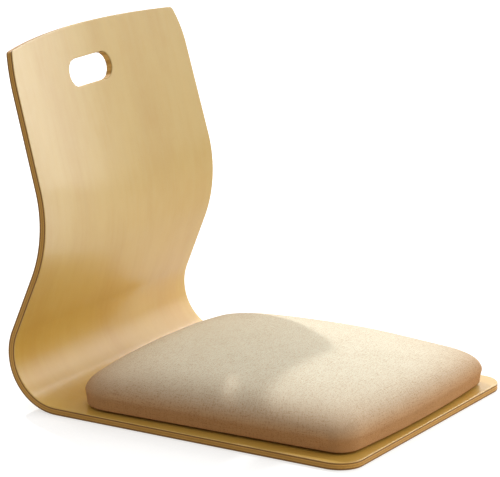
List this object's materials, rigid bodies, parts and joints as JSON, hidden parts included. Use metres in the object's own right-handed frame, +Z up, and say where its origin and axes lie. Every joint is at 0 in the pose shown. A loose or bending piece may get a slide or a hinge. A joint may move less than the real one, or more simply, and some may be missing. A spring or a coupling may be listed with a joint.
{
  "type": "legless floor chair",
  "caption": "Legless floor chair: one-piece bent plywood seat and back with a hand slot, and a fabric-covered foam seat pad that lifts off its fastening strips.",
  "frame": {"origin": "on the floor, at the middle of the chair's width and depth", "axes": "+X to the right of the chair as seen from its front, +Y from the front edge towards the back, +Z up"},
  "size_m": [0.3914, 0.4982, 0.4293],
  "materials": {
    "face_veneer": "satin clear lacquer on pale veneer, grain running up the back",
    "cross_ply": "sanded and lacquered ply edge, end grain",
    "long_ply": "sanded and lacquered ply edge, long grain",
    "hook_tape": "woven tape with short nylon hooks",
    "loop_tape": "woven tape with a brushed loop face",
    "pad_board": "plain plywood",
    "foam": "open-cell foam",
    "cover_fabric": "plain woven upholstery cloth, matt",
    "under_cloth": "thin non-woven cloth",
    "staple_wire": "bright wire"
  },
  "bodies": {
    "shell": {"outer_face_veneer": "face_veneer", "core_ply_1": "cross_ply", "core_ply_2": "long_ply", "core_ply_3": "cross_ply", "core_ply_4": "long_ply", "core_ply_5": "cross_ply", "inner_face_veneer": "face_veneer", "hook_strips": "hook_tape"},
    "pad": {"pad_board": "pad_board", "foam_core": "foam", "seat_cover": "cover_fabric", "under_cloth": "under_cloth", "cover_staples": "staple_wire", "cloth_staples": "staple_wire", "loop_strips": "loop_tape"}
  },
  "joints": [
    {"name": "pad_lift", "type": "slide", "parent": "shell", "child": "pad", "axis": [0, 0, 1], "range_m": [0, 0.1]}
  ]
}
